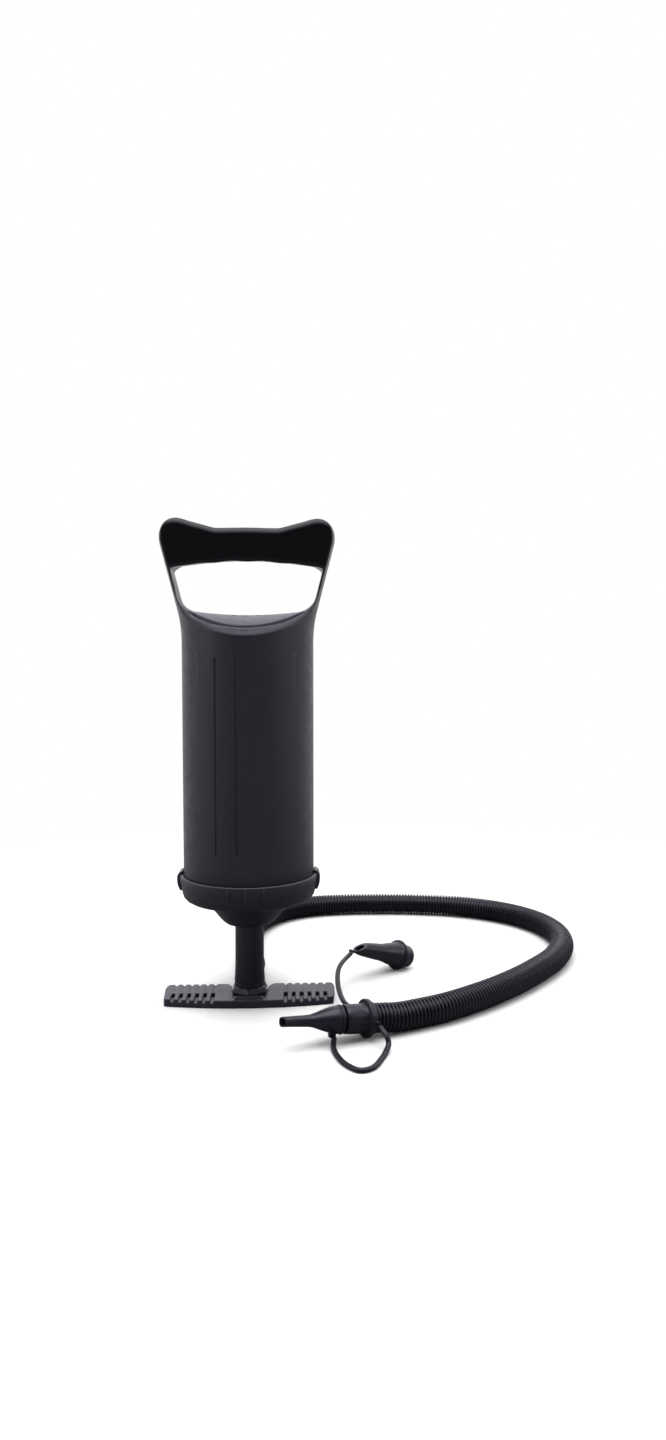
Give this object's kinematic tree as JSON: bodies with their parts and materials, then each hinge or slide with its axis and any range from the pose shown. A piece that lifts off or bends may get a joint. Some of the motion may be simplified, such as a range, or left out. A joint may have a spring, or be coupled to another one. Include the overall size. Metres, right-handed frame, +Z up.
{
  "type": "hand air pump",
  "caption": "Hand-operated double-action air pump: loop-handled barrel sliding on a hollow rod and foot plate, with a corrugated hose, push-on nozzle and tethered wide adapter.",
  "frame": {"origin": "on the floor under the pump, on the axis of the rod and the barrel", "axes": "+Z up along the rod, +X to the right along the foot plate and the handle, -Y towards the front"},
  "size_m": [0.3547, 0.3768, 0.3683],
  "materials": {
    "housing_plastic": "charcoal injection-moulded polypropylene with a fine satin texture",
    "foot_plastic": "grey-charcoal injection-moulded polypropylene, satin",
    "stem_plastic": "black injection-moulded polypropylene, low sheen",
    "inner_plastic": "natural white injection-moulded acetal, satin",
    "seal_rubber": "black moulded rubber, matt",
    "hose_plastic": "black extruded corrugated polyethylene, soft sheen",
    "nozzle_plastic": "black moulded low-density polyethylene, soft sheen",
    "screw_steel": "zinc-plated thread-forming screw"
  },
  "bodies": {
    "base": {"foot_plate": "foot_plastic", "stem_base": "stem_plastic", "piston_rod": "stem_plastic", "piston_lower_half": "inner_plastic", "piston_upper_half": "inner_plastic", "piston_seal": "seal_rubber", "foot_screw_left": "screw_steel", "foot_screw_right": "screw_steel", "piston_screw_1": "screw_steel", "piston_screw_2": "screw_steel", "piston_screw_3": "screw_steel", "hose_cuff": "nozzle_plastic", "hose_tube": "hose_plastic", "nozzle_strap": "nozzle_plastic", "adapter_strap": "nozzle_plastic", "hose_connector": "nozzle_plastic", "strap_ring": "nozzle_plastic", "wide_adapter": "nozzle_plastic"},
    "gland": {"rod_wiper": "seal_rubber"},
    "barrel": {"barrel": "housing_plastic", "bottom_cap": "housing_plastic", "cap_gasket": "seal_rubber", "guide_bush": "inner_plastic", "top_intake_retainer": "inner_plastic", "bottom_intake_retainer": "inner_plastic"},
    "top_intake": {"top_intake_disc": "seal_rubber"},
    "bottom_intake": {"bottom_intake_ring": "seal_rubber"},
    "upper_check": {"upper_check_disc": "seal_rubber"},
    "lower_check": {"lower_check_ring": "seal_rubber"},
    "nozzle": {"nozzle": "nozzle_plastic"}
  },
  "joints": [
    {"name": "barrel_slide", "type": "slide", "parent": "base", "child": "gland", "axis": [0, 0, 1], "range_m": [-0.035, 0.116]},
    {"name": "barrel_turn", "type": "hinge", "parent": "gland", "child": "barrel", "pos_m": [0, 0, 0.2], "axis": [0, 0, 1], "continuous": true},
    {"name": "top_intake_lift", "type": "slide", "parent": "barrel", "child": "top_intake", "axis": [0, 0, 1], "range_m": [0, 0.0016]},
    {"name": "bottom_intake_lift", "type": "slide", "parent": "barrel", "child": "bottom_intake", "axis": [0, 0, 1], "range_m": [0, 0.0016]},
    {"name": "upper_check_lift", "type": "slide", "parent": "base", "child": "upper_check", "axis": [0, 0, 1], "range_m": [0, 0.0016]},
    {"name": "lower_check_lift", "type": "slide", "parent": "base", "child": "lower_check", "axis": [0, 0, 1], "range_m": [0, 0.0016]},
    {"name": "nozzle_pull", "type": "slide", "parent": "base", "child": "nozzle", "axis": [-0.9297, -0.3494, 0.1167], "range_m": [0, 0.0145]}
  ]
}
